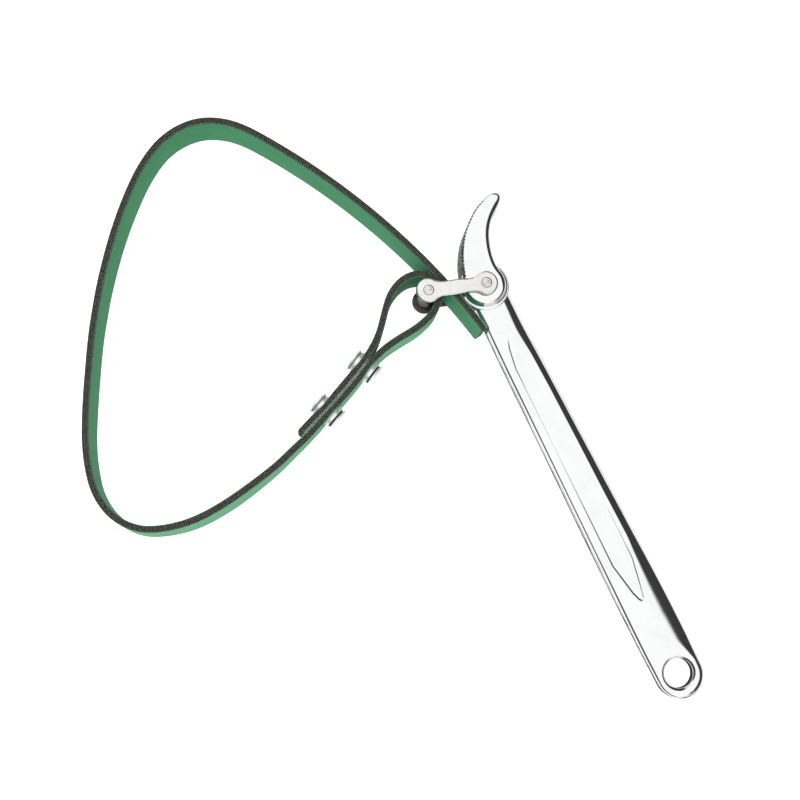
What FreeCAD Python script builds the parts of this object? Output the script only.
import FreeCAD, Part
import math
import os
from FreeCAD import Vector

# Belt wrench: a forged handle with a toothed horn, two link plates on a pivot pin,
# and a riveted belt looped round a roller on the eye pin. Millimetres.
# Saved frame: origin at the centre of the hanging hole, at mid thickness. +X runs
# along the handle from head to tail, +Z along the pins; the belt loop lies on the
# -Y side and the horn points to -X.
# The layout below has its origin on the pivot pin's axis; save() moves it by -HOLE_X.

os.makedirs("parts", exist_ok=True)

ORIGIN = Vector(0, 0, 0)
Z_AXIS = Vector(0, 0, 1)
TOUCH = 1e-3             # tolerance for finding edges on a face

# Dimensions shared between pieces
HOLE_X = 238.4
PLATE_GAP = 26.0         # between the inner faces of the link plates
PLATE_T = 3.0
PIN_R = 3.0
LINK_PITCH = 32.7
LINK_ANGLE = -107.6      # degrees from +X to the eye pin at rest
ROLLER_R = 4.5
EYE = Vector(LINK_PITCH * math.cos(math.radians(LINK_ANGLE)),
             LINK_PITCH * math.sin(math.radians(LINK_ANGLE)), 0)


# ---------------------------------------------------------------- helpers
def save(shape, name):
    moved = shape.copy()
    moved.translate(Vector(-HOLE_X, 0, 0))
    moved.exportStep("parts/%s.step" % name)


def flat(points):
    return [Vector(p[0], p[1], 0) for p in points]


def spline_edge(vectors, **tangents):
    curve = Part.BSplineCurve()
    curve.interpolate(vectors, **tangents)
    return curve.toShape()


def plan_edge(points):
    return spline_edge(flat(points))


def arc_edge(points):
    return Part.Arc(*flat(points)).toShape()


def sorted_wire(edges):
    return Part.Wire(Part.__sortEdges__(edges))


def prism(wire, z_low, z_high):
    solid = Part.Face(wire).extrude(Vector(0, 0, z_high - z_low))
    if solid.Volume < 0:
        solid.reverse()
    solid.translate(Vector(0, 0, z_low))
    return solid


def round_edges(solid, pick, radii):
    """Fillet the picked edges with the first radius that gives a valid solid."""
    edges = [edge for edge in solid.Edges if pick(edge)]
    for radius in radii:
        # Guards against a radius too large for the edges: the next one is tried,
        # and the solid stays sharp if none fits.
        try:
            rounded = solid.makeFillet(radius, edges)
            if rounded.isValid() and rounded.Volume > 0:
                return rounded
        except Exception:
            pass
    return solid


def rim_at(half):
    """Selector for edges lying flat at z = +half or -half."""
    def pick(edge):
        box = edge.BoundBox
        return abs(abs(box.ZMin) - half) < TOUCH and box.ZLength < TOUCH
    return pick


# ---------------------------------------------------------- handle: shank
TAIL_CX, TAIL_CY, TAIL_R = 239.3, 0.6, 13.3
SHANK_T_HEAD = 12.4
SHANK_T_MID = 11.4
SHANK_T_TAIL = 9.0
SHANK_FILLETS = (3.2, 2.8, 2.2, 1.5)
PANEL_DEPTH = 0.8
BLANK_HALF_Z = 15        # half height of the plan prism, beyond the shank
BLANK_HALF_Y = 30        # half width of the side prism, beyond the shank

# Flanks in plan (x, y), spreading slowly towards the tail
FLANK_PLUS_Y = [
    (2.0, 10.9), (12.0, 11.2), (24.0, 11.1), (42.0, 11.6), (80.0, 12.5), (120.0, 13.3),
    (160.0, 14.0), (200.0, 14.5), (222.0, 14.35), (TAIL_CX, TAIL_CY + TAIL_R)]
FLANK_MINUS_Y = [
    (TAIL_CX, TAIL_CY - TAIL_R), (222.0, -12.9), (200.0, -12.9), (160.0, -12.4),
    (120.0, -11.7), (80.0, -11.0), (42.0, -10.4), (24.0, -9.9), (12.0, -9.9), (2.0, -10.8)]
# Line across the head end; its +Y end is 0.3 past the start of the +Y flank
ROOT_LINE = [(2.0, -10.8), (2.0, 11.2)]

# Side profile (x, half thickness), thinning from head to tail
SIDE_STATIONS = [
    (-2.0, SHANK_T_HEAD / 2 + 0.6), (20.0, SHANK_T_HEAD / 2),
    (60.0, SHANK_T_MID / 2 + 0.1), (120.0, SHANK_T_MID / 2),
    (195.0, SHANK_T_MID / 2 - 0.2), (222.0, SHANK_T_TAIL / 2 + 0.25),
    (240.0, SHANK_T_TAIL / 2), (256.0, SHANK_T_TAIL / 2 - 0.05)]

# Recessed panel (x, y): pointed towards the head, small round end towards the tail
PANEL = [(32.0, -1.6), (49.5, -5.4), (171.0, -6.9), (189.0, -3.5), (194.2, -1.7),
         (195.4, -0.2), (194.4, 1.3), (171.3, 5.7), (60.5, 6.5)]
PANEL_FLOOR_X = (25, 60, 120, 200)
PANEL_CUT_TOP = 20


def side_point(x, z):
    return Vector(x, -BLANK_HALF_Y, z)


def side_prism(edges):
    return Part.Face(sorted_wire(edges)).extrude(Vector(0, 2 * BLANK_HALF_Y, 0))


def face_z(x):
    """Half thickness of the shank at x, straight between stations."""
    for (x0, z0), (x1, z1) in zip(SIDE_STATIONS, SIDE_STATIONS[1:]):
        if x0 <= x <= x1:
            return z0 + (z1 - z0) * (x - x0) / (x1 - x0)


def panel_pocket():
    """The +Z panel's cut, with a floor that follows the face."""
    floor = [side_point(x, face_z(x) - PANEL_DEPTH) for x in PANEL_FLOOR_X]
    corner_tail = side_point(PANEL_FLOOR_X[-1], PANEL_CUT_TOP)
    corner_head = side_point(PANEL_FLOOR_X[0], PANEL_CUT_TOP)
    slab = side_prism([
        spline_edge(floor), Part.makeLine(floor[-1], corner_tail),
        Part.makeLine(corner_tail, corner_head), Part.makeLine(corner_head, floor[0])])
    outline = Part.makePolygon(flat(PANEL + PANEL[:1]))
    return prism(outline, 0, BLANK_HALF_Z).common(slab)


def long_flank(edge):
    box = edge.BoundBox
    return (box.XMax > 30 and abs(box.ZMax) > 3.5
            and box.ZMax * box.ZMin > 0 and box.XLength > 8)


def make_shank():
    tail_arc = arc_edge([(TAIL_CX, TAIL_CY + TAIL_R), (TAIL_CX + TAIL_R, TAIL_CY),
                         (TAIL_CX, TAIL_CY - TAIL_R)])
    plan = prism(sorted_wire([plan_edge(FLANK_PLUS_Y), tail_arc, plan_edge(FLANK_MINUS_Y),
                              Part.makeLine(*flat(ROOT_LINE))]),
                 -BLANK_HALF_Z, BLANK_HALF_Z)
    upper = [side_point(x, z) for x, z in SIDE_STATIONS]
    lower = [side_point(x, -z) for x, z in SIDE_STATIONS[::-1]]
    side = side_prism([
        spline_edge(upper), Part.makeLine(upper[-1], lower[0]),
        spline_edge(lower), Part.makeLine(lower[-1], upper[0])])
    shank = round_edges(plan.common(side), long_flank, SHANK_FILLETS)
    pocket = panel_pocket()
    shank = shank.cut(pocket)
    return shank.cut(pocket.mirror(ORIGIN, Z_AXIS))


# -------------------------------------------------- handle: boss and horn
HEAD_T = PLATE_GAP - 0.3  # boss and horn thickness, between the link plates
HEAD_FILLETS = (1.3, 1.1, 0.9, 0.6, 0.4)
BOSS_R = 11.5
BOSS_FOOT_R = 12.9       # where the boss runs out into the shank
FOOT_HALF_T = 6.0
FOOT_CONE_H = 2.2

# Horn outline (x, y): convex face from root to tip, tip arc, concave face back
HORN_CONVEX = [(-7.2, -9.6), (-13.0, -7.8), (-19.3, -5.3), (-25.2, -2.0), (-31.0, 2.2),
               (-35.8, 7.2), (-39.9, 12.3), (-42.9, 17.7), (-45.2, 24.6)]
HORN_TIP = [(-45.75, 26.4), (-44.6, 30.0), (-41.1, 30.6)]
HORN_CONCAVE = [(-38.4, 28.4), (-34.9, 23.6), (-30.6, 18.8), (-25.2, 15.2),
                (-19.0, 12.6), (-12.6, 10.9), (-6.4, 10.2), (-0.6, 11.3)]


def make_boss():
    """A drum between the link plates, with a coned foot onto the shank."""
    boss = Part.makeCylinder(BOSS_R, HEAD_T, Vector(0, 0, -HEAD_T / 2))
    for side in (1, -1):
        boss = boss.fuse(Part.makeCone(BOSS_FOOT_R, BOSS_R, FOOT_CONE_H,
                                       Vector(0, 0, side * FOOT_HALF_T), Vector(0, 0, side)))
    return boss.fuse(Part.makeCylinder(BOSS_FOOT_R, 2 * FOOT_HALF_T,
                                       Vector(0, 0, -FOOT_HALF_T)))


def make_head():
    """The boss with the curved horn standing on it."""
    root = Part.makePolygon(flat([HORN_CONCAVE[-1], (0, 0), HORN_CONVEX[0]]))
    outline = sorted_wire([
        plan_edge(HORN_CONVEX + HORN_TIP[:1]), arc_edge(HORN_TIP),
        plan_edge(HORN_TIP[-1:] + HORN_CONCAVE)] + root.Edges)
    horn = prism(outline, -HEAD_T / 2, HEAD_T / 2)
    head = horn.fuse(make_boss()).removeSplitter()
    return round_edges(head, rim_at(HEAD_T / 2), HEAD_FILLETS)


# ---------------------------------------- handle: holes, teeth, assembly
PIN_BORE_R = PIN_R + 0.05
HOLE_R = 8.0
HOLE_CHAMFER = 1.15
HOLE_FACE_Z = SHANK_T_TAIL / 2 + 0.02
CHAMFER_OVERRUN = 1.0    # how far the chamfer cone goes on past the face
TOOTH_PITCH = 1.9
TOOTH_DEPTH = 0.55
TOOTH_HALF_W = TOOTH_PITCH * 0.42
TOOTH_PROUD = 0.25       # the groove cutter starts this far outside the face
TOOTH_MARGIN = 1.0       # plain strip at each side of the horn
TOOTH_RUN_TRIM = 3.0     # taken off the face's length when counting teeth
FIRST_TOOTH = 3


def tooth_cutters():
    """V grooves across the horn's convex face."""
    face = plan_edge(HORN_CONVEX)
    count = int((face.Length - TOOTH_RUN_TRIM) / TOOTH_PITCH)
    points = face.discretize(Number=count + 3)
    cutters = []
    for i in range(FIRST_TOOTH, len(points) - 1):
        along = (points[i + 1] - points[i - 1]).normalize()
        outward = Vector(-along.y, along.x, 0)
        mouth = points[i] + outward * TOOTH_PROUD
        start = mouth + along * TOOTH_HALF_W
        end = mouth - along * TOOTH_HALF_W
        bottom = points[i] - outward * TOOTH_DEPTH
        cutters.append(prism(Part.makePolygon([start, end, bottom, start]),
                             -HEAD_T / 2 + TOOTH_MARGIN, HEAD_T / 2 - TOOTH_MARGIN))
    return Part.makeCompound(cutters)


def make_handle():
    shank = make_shank()
    handle = make_head().fuse(shank)
    handle = handle.cut(Part.makeCylinder(PIN_BORE_R, 40, Vector(0, 0, -20)))
    handle = handle.cut(Part.makeCylinder(HOLE_R, 30, Vector(HOLE_X, 0, -15)))
    cone_h = HOLE_CHAMFER + CHAMFER_OVERRUN
    for side in (1, -1):
        apex_end = Vector(HOLE_X, 0, side * (HOLE_FACE_Z - HOLE_CHAMFER))
        handle = handle.cut(Part.makeCone(HOLE_R, HOLE_R + cone_h, cone_h,
                                          apex_end, Vector(0, 0, side)))
    handle = handle.cut(tooth_cutters()).removeSplitter()
    if handle.ShapeType != "Solid" and len(handle.Solids) == 1:
        handle = handle.Solids[0]
    return handle


save(make_handle(), "handle_forging")


# ------------------------------------------------------------ link plates
PLATE_EYE_R = 7.0
PLATE_PIVOT_R = 6.7
PLATE_WAIST = 8.8
PIVOT_END_ANGLE = math.radians(52)   # where the pivot end's arc meets the waist curve
EYE_END_ANGLE = math.radians(55)
PLATE_HOLE_R = PIN_R + 0.02
PLATE_SINK = 0.6         # height and radial growth of the countersink cone
PLATE_SINK_DEPTH = 0.3
PLATE_OUTER_FILLETS = (0.7, 0.5, 0.3)
PLATE_INNER_FILLETS = (0.3, 0.2)


def plate_outline():
    """Waisted outline along +X, from the pivot at the origin to the eye pin."""
    pivot_sin, pivot_cos = math.sin(PIVOT_END_ANGLE), math.cos(PIVOT_END_ANGLE)
    eye_sin, eye_cos = math.sin(EYE_END_ANGLE), math.cos(EYE_END_ANGLE)
    pivot_top = Vector(PLATE_PIVOT_R * pivot_cos, PLATE_PIVOT_R * pivot_sin, 0)
    eye_top = Vector(LINK_PITCH - PLATE_EYE_R * eye_cos, PLATE_EYE_R * eye_sin, 0)
    pivot_low = Vector(pivot_top.x, -pivot_top.y, 0)
    eye_low = Vector(eye_top.x, -eye_top.y, 0)
    waist_x, waist_y = LINK_PITCH * 0.50, PLATE_WAIST / 2
    top = spline_edge([pivot_top, Vector(waist_x, waist_y, 0), eye_top],
                      InitialTangent=Vector(pivot_sin, -pivot_cos, 0),
                      FinalTangent=Vector(eye_sin, eye_cos, 0))
    low = spline_edge([eye_low, Vector(waist_x, -waist_y, 0), pivot_low],
                      InitialTangent=Vector(-eye_sin, eye_cos, 0),
                      FinalTangent=Vector(-pivot_sin, -pivot_cos, 0))
    eye_end = arc_edge([eye_top, (LINK_PITCH + PLATE_EYE_R, 0), eye_low])
    pivot_end = arc_edge([pivot_low, (-PLATE_PIVOT_R, 0), pivot_top])
    return sorted_wire([top, eye_end, low, pivot_end])


def make_plate():
    """One plate with its inner face on z = 0, turned to the link angle."""
    plate = prism(plate_outline(), 0, PLATE_T)
    plate = round_edges(plate, lambda edge: edge.BoundBox.ZMin > PLATE_T - TOUCH,
                        PLATE_OUTER_FILLETS)
    plate = round_edges(plate, lambda edge: edge.BoundBox.ZMax < TOUCH, PLATE_INNER_FILLETS)
    for x in (0, LINK_PITCH):
        plate = plate.cut(Part.makeCylinder(PLATE_HOLE_R, 10, Vector(x, 0, -3)))
        plate = plate.cut(Part.makeCone(PLATE_HOLE_R, PLATE_HOLE_R + PLATE_SINK, PLATE_SINK,
                                        Vector(x, 0, PLATE_T - PLATE_SINK_DEPTH)))
    plate.rotate(ORIGIN, Z_AXIS, LINK_ANGLE)
    return plate


front_plate = make_plate()
rear_plate = front_plate.mirror(ORIGIN, Z_AXIS)
front_plate.translate(Vector(0, 0, PLATE_GAP / 2))
rear_plate.translate(Vector(0, 0, -PLATE_GAP / 2))
save(front_plate, "link_plate_front")
save(rear_plate, "link_plate_rear")

# ---------------------------------------------------- pins and eye roller
PIN_FILLET = 0.35
DIMPLE_TIP_R, DIMPLE_R = 0.05, 0.65   # conical dimple in each pin end
DIMPLE_H, DIMPLE_DEPTH = 0.45, 0.44
ROLLER_L = PLATE_GAP - 0.2
ROLLER_BORE_R = PIN_R + 0.06
ROLLER_FILLET = 0.5


def make_link_pin(centre):
    half = PLATE_GAP / 2 + PLATE_T
    pin = Part.makeCylinder(PIN_R, 2 * half, Vector(centre.x, centre.y, -half))
    pin = round_edges(pin, rim_at(half), (PIN_FILLET,))
    for side in (1, -1):
        tip = Vector(centre.x, centre.y, side * (half - DIMPLE_DEPTH))
        pin = pin.cut(Part.makeCone(DIMPLE_TIP_R, DIMPLE_R, DIMPLE_H,
                                    tip, Vector(0, 0, side)))
    return pin


def make_roller():
    roller = Part.makeCylinder(ROLLER_R, ROLLER_L, Vector(EYE.x, EYE.y, -ROLLER_L / 2))
    roller = round_edges(roller, rim_at(ROLLER_L / 2), (ROLLER_FILLET,))
    return roller.cut(Part.makeCylinder(ROLLER_BORE_R, 60, Vector(EYE.x, EYE.y, -30)))


save(make_link_pin(ORIGIN), "pivot_pin")
save(make_link_pin(EYE), "eye_pin")
save(make_roller(), "eye_roller")

# ------------------------------------------------------- belt centrelines
BELT_W = 25.0
BELT_T = 3.8
SPLICE_GAP = 0.25        # between the main and return layers
FREE_CX, FREE_CY, FREE_R = 100.6, -407.0, 402.45   # the free run's own arc
FREE_END_X, FREE_END_Y = 22.6, -12.75              # direction of the belt's free end
FREE_LENGTH = 161.0
BEND_START_GAP = 0.3     # the bend piece starts this far past the anchor piece
BEND_LEAD_IN = (8.0, 1.0)  # points on the free arc's extension; the bend ends 1 mm short

RETURN_TOP_Y = -82.2     # main-layer stations that bound the return layer
RETURN_END_Y = -127.2

# Centreline (x, y) of the main layer, from the eye's +X side down the splice
MAIN_RUN = [
    (2.2, -34.5), (3.5, -37.8), (4.6, -41.1), (5.4, -44.3), (6.1, -48.4), (6.6, -53.0),
    (7.2, -58.6), (8.4, -65.6), (10.4, -72.3), (13.1, -78.7), (16.1, -84.7), (19.0, -90.7),
    (21.8, -96.8), (24.5, -102.9), (27.1, -109.0), (29.6, -115.2), (32.0, -121.3),
    (34.4, -127.4)]
# On round the lower run; the last point is where the bend piece takes over
LOWER_RUN = [
    (37.4, -136.3), (40.8, -146.7), (43.4, -157.0), (45.5, -167.4), (47.3, -177.9),
    (48.5, -188.4), (48.8, -198.8), (47.7, -209.2), (45.0, -219.2), (40.6, -228.3),
    (36.7, -232.7), (32.5, -236.1), (27.8, -238.7), (22.9, -240.4), (17.6, -241.4),
    (12.3, -241.7), (7.0, -241.3)]
# Round the -X bend and up towards the free run
BEND_RUN = [
    (1.7, -240.3), (-3.5, -239.0), (-13.7, -235.6), (-23.6, -231.3), (-33.3, -226.5),
    (-43.0, -221.4), (-52.6, -216.1), (-62.3, -210.7), (-71.7, -205.0), (-81.0, -198.9),
    (-90.2, -192.6), (-99.1, -185.9), (-107.9, -178.9), (-116.4, -171.6), (-124.6, -163.9),
    (-132.6, -155.7), (-140.0, -147.1), (-146.2, -138.1), (-151.0, -128.2),
    (-153.3, -117.6), (-152.9, -106.9), (-149.2, -96.7), (-142.7, -87.7)]
# Strand on the eye's -X side, from where it parts from the main layer
MINUS_X_STRAND = [
    (8.1, -78.0), (6.3, -74.8), (2.6, -69.5), (-2.0, -64.7), (-7.2, -60.2), (-12.5, -55.8),
    (-17.2, -51.0), (-20.6, -45.2), (-22.3, -38.6), (-21.5, -32.3), (-18.6, -27.8)]
# Over the roller: (radius from the eye pin, degrees from +X)
WRAP_R = ROLLER_R + 0.15 + BELT_T / 2
ROLLER_WRAP = [(WRAP_R + 0.55, 131), (WRAP_R, 112), (WRAP_R, 94), (WRAP_R + 0.1, 70),
               (7.1, 45), (8.3, 17)]


def polar(centre_x, centre_y, radius, angle):
    return (centre_x + radius * math.cos(angle), centre_y + radius * math.sin(angle))


def free_point(radius, angle):
    return polar(FREE_CX, FREE_CY, radius, angle)


def resample(points, step):
    edge = plan_edge(points)
    return edge.discretize(Number=int(round(edge.Length / step)) + 1)


def normals(line):
    """Unit normals on the left of travel: the belt's outer side."""
    result = []
    for i in range(len(line)):
        along = (line[min(i + 1, len(line) - 1)] - line[max(i - 1, 0)]).normalize()
        result.append(Vector(-along.y, along.x, 0))
    return result


def shifted(line, offset):
    return [point + normal * offset for point, normal in zip(line, normals(line))]


def index_at_y(line, y):
    return min(range(len(line)), key=lambda i: abs(line[i].y - y))


splice_line = resample(MAIN_RUN + LOWER_RUN[:2], 1.0)
splice_normals = normals(splice_line)
return_top = index_at_y(splice_line, RETURN_TOP_Y)
return_end = index_at_y(splice_line, RETURN_END_Y)
# The return layer lies inside the main one, and is taken from its end upwards
return_layer = shifted(splice_line, -(BELT_T + SPLICE_GAP))[return_end:return_top:-4]
over_roller = [polar(EYE.x, EYE.y, radius, math.radians(degrees))
               for radius, degrees in ROLLER_WRAP]
belt_points = ([(p.x, p.y) for p in return_layer] + MINUS_X_STRAND + over_roller
               + MAIN_RUN + LOWER_RUN + BEND_RUN[:2])
belt_line = resample(resample(belt_points, 2.0), 2.0)

# Split the belt at the end of the lower run
split_point = flat(LOWER_RUN[-1:])[0]
split = min(range(len(belt_line)), key=lambda i: (belt_line[i] - split_point).Length)
anchor_line = belt_line[:split]

free_end_angle = math.atan2(FREE_END_Y - FREE_CY, FREE_END_X - FREE_CX)
free_start_angle = free_end_angle + FREE_LENGTH / FREE_R
lead_in = [free_point(FREE_R, free_start_angle + distance / FREE_R)
           for distance in BEND_LEAD_IN]
bend_line = resample([belt_line[split]] + BEND_RUN + lead_in, 2.0)
bend_line[0] = bend_line[0] + (bend_line[1] - bend_line[0]).normalize() * BEND_START_GAP

# ----------------------------------------------------------- belt pieces
COVER_T = 0.5
BOND = 0.02              # glue line allowed on each side of the core
RIVET_R = 2.5
RIVET_HOLE_R = RIVET_R + 0.1
RIVET_Y = (-80.3, -109.2)

# (name, inner offset, outer offset) from the centreline
LAYERS = [
    ("belt_inner_cover", -BELT_T / 2, -BELT_T / 2 + COVER_T),
    ("belt_core", -BELT_T / 2 + COVER_T + BOND, BELT_T / 2 - COVER_T - BOND),
    ("belt_outer_cover", BELT_T / 2 - COVER_T, BELT_T / 2)]

# Splice rivets: (point on the main layer's centreline, axis along its normal)
rivet_seats = [(splice_line[i], splice_normals[i])
               for i in (index_at_y(splice_line, y) for y in RIVET_Y)]


def strip(inner, outer, make_edge):
    """Belt-wide solid between two rows of points joined by make_edge."""
    inner, outer = flat(inner), flat(outer)
    return prism(sorted_wire([
        make_edge(inner), Part.makeLine(inner[-1], outer[-1]),
        make_edge(outer), Part.makeLine(outer[0], inner[0])]), -BELT_W / 2, BELT_W / 2)


def band(line, inner, outer):
    return strip(shifted(line, inner), shifted(line, outer), plan_edge)


def free_band(inner, outer):
    """The free run: an exact arc, so that it slides along itself."""
    angles = (free_end_angle, (free_end_angle + free_start_angle) / 2, free_start_angle)
    return strip([free_point(FREE_R + inner, angle) for angle in angles],
                 [free_point(FREE_R + outer, angle) for angle in angles], arc_edge)


def rivet_holes():
    """Two cylinders per rivet, both ways from the gap between the layers."""
    holes = []
    for centre, normal in rivet_seats:
        middle = centre - normal * (BELT_T / 2 + SPLICE_GAP / 2)
        for side in (1, -1):
            holes.append(Part.makeCylinder(RIVET_HOLE_R, 12, middle, normal * side))
    return holes


for name, inner, outer in LAYERS:
    anchor = band(anchor_line, inner, outer)
    for hole in rivet_holes():
        anchor = anchor.cut(hole)
    save(anchor, name + "_anchor")
    save(band(bend_line, inner, outer), name + "_bend")
    save(free_band(inner, outer), name + "_free")

# -------------------------------------------------------- splice hardware
WASHER_R = 6.5
WASHER_R_BELT = 6.7      # on the face towards the belt
WASHER_T = 1.9
WASHER_LAND = 0.5        # straight part of the rim, away from the belt
NECK_R = 5.7             # groove between a washer and the head over it
NECK_H = 0.9
RIVET_HEAD_R = 6.6
RIVET_HEAD_H = 2.1       # above the neck
HEAD_LAND = 0.4          # straight part of the head's rim
SEAT_GAP = 0.30          # washer face to belt, so the belt's curve clears it
HEAD_GAP = 0.08          # washer to head
SHANK_SHORT = 0.05       # rivet shank stops short of the cap

# Washer faces' distances from the main centreline, outwards and inwards
SEAT_OUT = BELT_T / 2 + SEAT_GAP
SEAT_IN = BELT_T * 1.5 + SPLICE_GAP + SEAT_GAP
HEAD_OUT = SEAT_OUT + WASHER_T + HEAD_GAP
HEAD_IN = SEAT_IN + WASHER_T + HEAD_GAP


def make_washer(base, axis):
    cone_h = WASHER_T - WASHER_LAND
    washer = Part.makeCone(WASHER_R_BELT, WASHER_R, cone_h, base, axis)
    washer = washer.fuse(Part.makeCylinder(WASHER_R, WASHER_LAND, base + axis * cone_h, axis))
    washer = washer.cut(Part.makeCylinder(RIVET_HOLE_R + 0.05, 10, base - axis * 3, axis))
    return washer.removeSplitter()


def make_dome(start, axis):
    """Spherical cap on a short land and a neck, turned about the rivet's axis."""
    cap_h = RIVET_HEAD_H - HEAD_LAND
    sphere_r = (RIVET_HEAD_R ** 2 + cap_h ** 2) / (2 * cap_h)
    mid_angle = 0.5 * math.asin(RIVET_HEAD_R / sphere_r)
    top_z = NECK_H + RIVET_HEAD_H
    neck_low = Vector(NECK_R, 0, 0)
    neck_high = Vector(NECK_R, 0, NECK_H)
    land_low = Vector(RIVET_HEAD_R, 0, NECK_H)
    land_high = Vector(RIVET_HEAD_R, 0, NECK_H + HEAD_LAND)
    cap_mid = Vector(sphere_r * math.sin(mid_angle), 0,
                     top_z - sphere_r + sphere_r * math.cos(mid_angle))
    top = Vector(0, 0, top_z)
    profile = Part.Wire([
        Part.makeLine(ORIGIN, neck_low), Part.makeLine(neck_low, neck_high),
        Part.makeLine(neck_high, land_low), Part.makeLine(land_low, land_high),
        Part.Arc(land_high, cap_mid, top).toShape(), Part.makeLine(top, ORIGIN)])
    dome = Part.Face(profile).revolve(ORIGIN, Z_AXIS, 360)
    if dome.Volume < 0:
        dome.reverse()
    dome.Placement = FreeCAD.Placement(start, FreeCAD.Rotation(Z_AXIS, axis))
    return dome


def make_rivet(centre, normal):
    start = centre + normal * HEAD_OUT
    shank = Part.makeCylinder(RIVET_R, HEAD_OUT + HEAD_IN - SHANK_SHORT, start, normal * -1)
    return make_dome(start, normal).fuse(shank).removeSplitter()


rivets, caps, washers = [], [], []
for centre, normal in rivet_seats:
    inward = normal * -1
    washers.append(make_washer(centre + normal * SEAT_OUT, normal))
    washers.append(make_washer(centre + inward * SEAT_IN, inward))
    rivets.append(make_rivet(centre, normal))
    caps.append(make_dome(centre + inward * HEAD_IN, inward))
save(Part.makeCompound(rivets), "splice_rivets")
save(Part.makeCompound(caps), "splice_rivet_caps")
save(Part.makeCompound(washers), "splice_washers")
